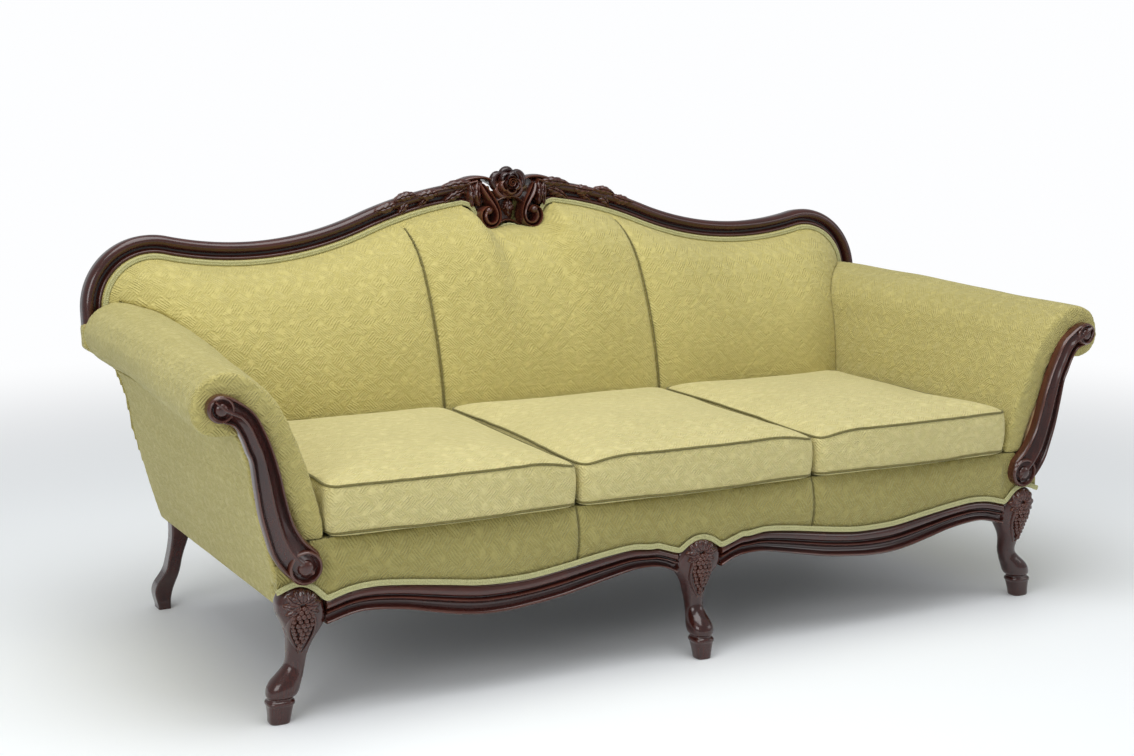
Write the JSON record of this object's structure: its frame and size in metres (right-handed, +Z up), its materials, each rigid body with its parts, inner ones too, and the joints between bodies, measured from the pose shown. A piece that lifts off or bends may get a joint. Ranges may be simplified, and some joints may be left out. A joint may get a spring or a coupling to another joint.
{
  "type": "cabriole sofa",
  "caption": "Long sofa with a carved, swept show-wood crest, scroll arms, cabriole front legs, a sewn tight back and loose boxed seat cushions.",
  "frame": {"origin": "on the floor, under the middle of the sofa's bounding box", "axes": "+X along the sofa, to the right as seen from the front; -Y towards the front; +Z up"},
  "size_m": [2.065, 0.9559, 0.9524],
  "materials": {
    "mahogany": "dark red-brown semi-gloss lacquer",
    "beech": "planed, unfinished",
    "upholstery_fabric": "olive-green woven matelasse",
    "cushion_fabric": "olive-green woven matelasse with self piping",
    "deck_cloth": "plain weave",
    "gimp_braid": "woven braid",
    "jute_webbing": "woven jute",
    "spring_steel": "oiled wire",
    "cambric": "black woven cambric"
  },
  "bodies": {
    "frame": {"arm_facing_left": "mahogany", "arm_facing_right": "mahogany", "arm_front_post_left": "beech", "arm_front_post_right": "beech", "arm_pad_left": "upholstery_fabric", "arm_pad_right": "upholstery_fabric", "arm_tacking_rail_left": "beech", "arm_tacking_rail_right": "beech", "arm_top_rail_left": "beech", "arm_top_rail_right": "beech", "back_leg_left": "mahogany", "back_leg_right": "mahogany", "back_post_left": "beech", "back_post_right": "beech", "back_tacking_rail_centre": "beech", "back_tacking_rail_left": "beech", "back_tacking_rail_right": "beech", "back_upright_left": "beech", "back_upright_right": "beech", "back_webbing": "jute_webbing", "corner_block_left": "beech", "corner_block_right": "beech", "crest_cartouche": "mahogany", "crest_dowels": "beech", "crest_rail_left": "mahogany", "crest_rail_right": "mahogany", "crest_rose": "mahogany", "dust_cover": "cambric", "frame_dowels": "beech", "front_border_centre": "upholstery_fabric", "front_border_left": "upholstery_fabric", "front_border_right": "upholstery_fabric", "front_leg_centre": "mahogany", "front_leg_left": "mahogany", "front_leg_right": "mahogany", "front_rail_left": "mahogany", "front_rail_right": "mahogany", "gimp_crest": "gimp_braid", "gimp_front": "gimp_braid", "inside_back_centre": "upholstery_fabric", "inside_back_left": "upholstery_fabric", "inside_back_right": "upholstery_fabric", "outside_arm_left": "upholstery_fabric", "outside_arm_right": "upholstery_fabric", "outside_back": "upholstery_fabric", "seat_back_rail": "beech", "seat_deck": "deck_cloth", "seat_front_rail": "beech", "seat_side_rail_left": "beech", "seat_side_rail_right": "beech", "seat_springs": "spring_steel", "seat_stretcher_left": "beech", "seat_stretcher_right": "beech", "spring_clips": "spring_steel"},
    "cushion_left": {"seat_cushion_left": "cushion_fabric"},
    "cushion_centre": {"seat_cushion_centre": "cushion_fabric"},
    "cushion_right": {"seat_cushion_right": "cushion_fabric"}
  },
  "joints": [
    {"name": "lift_left_cushion", "type": "slide", "parent": "frame", "child": "cushion_left", "axis": [0, 0, 1], "range_m": [0, 0.2]},
    {"name": "lift_centre_cushion", "type": "slide", "parent": "frame", "child": "cushion_centre", "axis": [0, 0, 1], "range_m": [0, 0.2]},
    {"name": "lift_right_cushion", "type": "slide", "parent": "frame", "child": "cushion_right", "axis": [0, 0, 1], "range_m": [0, 0.2]}
  ]
}
